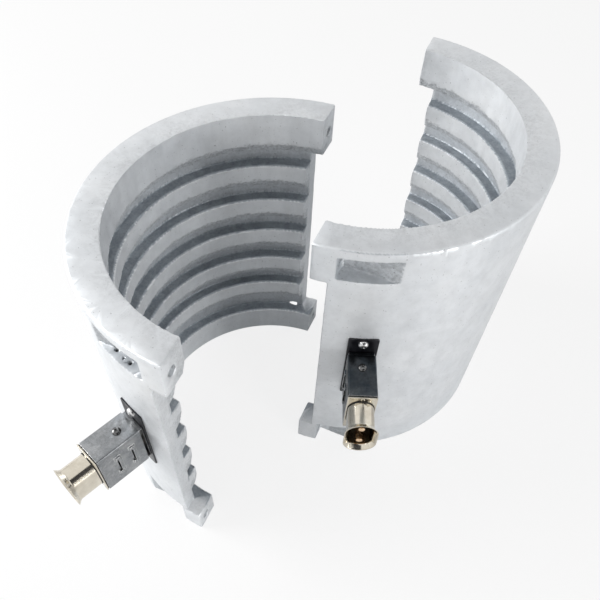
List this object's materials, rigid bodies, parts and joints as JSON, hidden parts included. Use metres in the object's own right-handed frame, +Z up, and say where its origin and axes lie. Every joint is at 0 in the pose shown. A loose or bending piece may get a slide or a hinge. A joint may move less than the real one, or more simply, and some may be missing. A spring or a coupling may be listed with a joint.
{
  "type": "two-piece cast aluminium band heater",
  "caption": "Cast aluminium cylinder heater in two ribbed half shells with bolt lugs, each with a sheet metal terminal box and a pin plug inlet.",
  "frame": {"origin": "left half's bore axis at the face it stands on", "axes": "+Z up along the bore; the split planes are parallel to YZ, the left half's back points to -X; the terminal boxes point towards -Y"},
  "size_m": [0.3439, 0.5168, 0.296],
  "materials": {
    "cast_aluminium": "matte, gravity cast, bore lands turned",
    "element_sheath": "satin, heat-dulled",
    "ceramic_bead": "matte",
    "terminal_steel": "satin",
    "dark_strip": "satin black",
    "screw_steel": "satin",
    "box_sheet": "satin sheet steel with bright bends",
    "black_seal": "matte",
    "nickel_shell": "bright nickel plate",
    "dark_insulator": "matte moulded",
    "brass_pin": "bright",
    "glass_sleeving": "braided sleeve"
  },
  "bodies": {
    "left_half": {"left_casting": "cast_aluminium", "left_element_ends": "element_sheath", "left_element_beads": "ceramic_bead", "left_element_studs": "terminal_steel", "left_terminal_nuts": "terminal_steel", "left_mounting_strip": "dark_strip", "left_strip_screws": "screw_steel", "left_box_frame": "box_sheet", "left_box_cover": "box_sheet", "left_cover_screw": "screw_steel", "left_plug_gasket": "black_seal", "left_plug_shell": "nickel_shell", "left_plug_seal": "black_seal", "left_plug_insert": "dark_insulator", "left_plug_pins": "brass_pin", "left_plug_rivets": "screw_steel", "left_lead_wires": "glass_sleeving"},
    "right_half": {"right_casting": "cast_aluminium", "right_element_ends": "element_sheath", "right_element_beads": "ceramic_bead", "right_element_studs": "terminal_steel", "right_terminal_nuts": "terminal_steel", "right_mounting_strip": "dark_strip", "right_strip_screws": "screw_steel", "right_box_frame": "box_sheet", "right_box_cover": "box_sheet", "right_cover_screw": "screw_steel", "right_plug_gasket": "black_seal", "right_plug_shell": "nickel_shell", "right_plug_seal": "black_seal", "right_plug_insert": "dark_insulator", "right_plug_pins": "brass_pin", "right_plug_rivets": "screw_steel", "right_lead_wires": "glass_sleeving"}
  },
  "joints": [
    {"name": "halves_close", "type": "slide", "parent": "left_half", "child": "right_half", "axis": [-0.2313, -0.9729, 0], "range_m": [0, 0.1465]}
  ]
}
